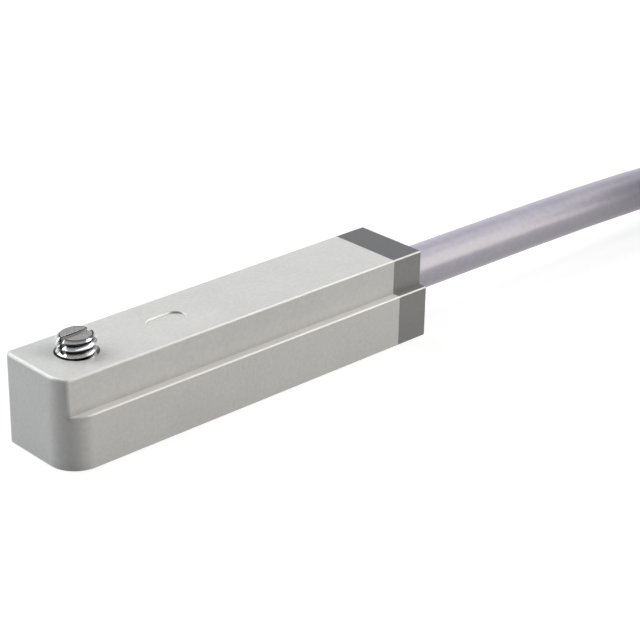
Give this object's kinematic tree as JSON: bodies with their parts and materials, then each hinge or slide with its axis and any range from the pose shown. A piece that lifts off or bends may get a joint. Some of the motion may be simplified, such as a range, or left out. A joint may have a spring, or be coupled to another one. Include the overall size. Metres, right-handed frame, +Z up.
{
  "type": "hall effect sensor",
  "caption": "Slim stepped-block magnetic sensor for a cylinder groove, with a slotted clamp screw, a window recess and a round cable out of its end cap.",
  "frame": {"origin": "middle of the base of the sensor's box, on the surface that it rests on", "axes": "+X along the sensor from its front face to the cable, +Y away from the stepped side, +Z up out of the face with the clamp screw"},
  "size_m": [0.1287, 0.0294, 0.0237],
  "materials": {
    "housing_plastic": "fine grained moulded plastic, pale warm grey",
    "cap_plastic": "smooth matte plastic, dark grey",
    "plated_steel": "bright plated steel",
    "turned_brass": "turned and knurled brass",
    "cable_jacket": "smooth extruded jacket, light lilac grey",
    "board_laminate": "green solder mask on glass laminate",
    "land_copper": "tinned copper lands",
    "chip_epoxy": "black moulded epoxy",
    "tinned_lead": "matte tin plating",
    "led_base": "white ceramic-filled plastic",
    "led_lens": "clear amber-tinted epoxy",
    "resistor_ceramic": "dark ceramic with plated ends",
    "capacitor_ceramic": "tan ceramic with plated ends",
    "core_brown_skin": "brown wire insulation",
    "core_black_skin": "black wire insulation",
    "core_blue_skin": "blue wire insulation",
    "bare_copper": "stranded copper",
    "solder": "bright solder",
    "cast_resin": "dark cast resin",
    "tie_nylon": "natural nylon"
  },
  "bodies": {
    "sensor_body": {"housing": "housing_plastic", "end_cap": "cap_plastic", "threaded_insert": "turned_brass", "circuit_board": "board_laminate", "solder_lands": "land_copper", "hall_chip": "chip_epoxy", "hall_chip_leads": "tinned_lead", "output_transistor": "chip_epoxy", "output_transistor_leads": "tinned_lead", "protection_diode": "chip_epoxy", "protection_diode_ends": "tinned_lead", "indicator_led": "led_base", "indicator_led_lens": "led_lens", "chip_resistors": "resistor_ceramic", "chip_capacitors": "capacitor_ceramic", "core_brown": "core_brown_skin", "core_black": "core_black_skin", "core_blue": "core_blue_skin", "core_conductors": "bare_copper", "solder_joints": "solder", "crimp_sleeve": "tinned_lead", "resin_seal": "cast_resin", "cable": "cable_jacket", "cable_hank": "cable_jacket", "hank_tie": "tie_nylon", "free_core_brown": "core_brown_skin", "free_core_black": "core_black_skin", "free_core_blue": "core_blue_skin", "core_tips": "tinned_lead"},
    "screw": {"clamp_screw": "plated_steel"}
  },
  "joints": [
    {"name": "clamp_screw_travel", "type": "slide", "parent": "sensor_body", "child": "screw", "axis": [0, 0, 1], "range_m": [-0.002, 0.001]}
  ]
}
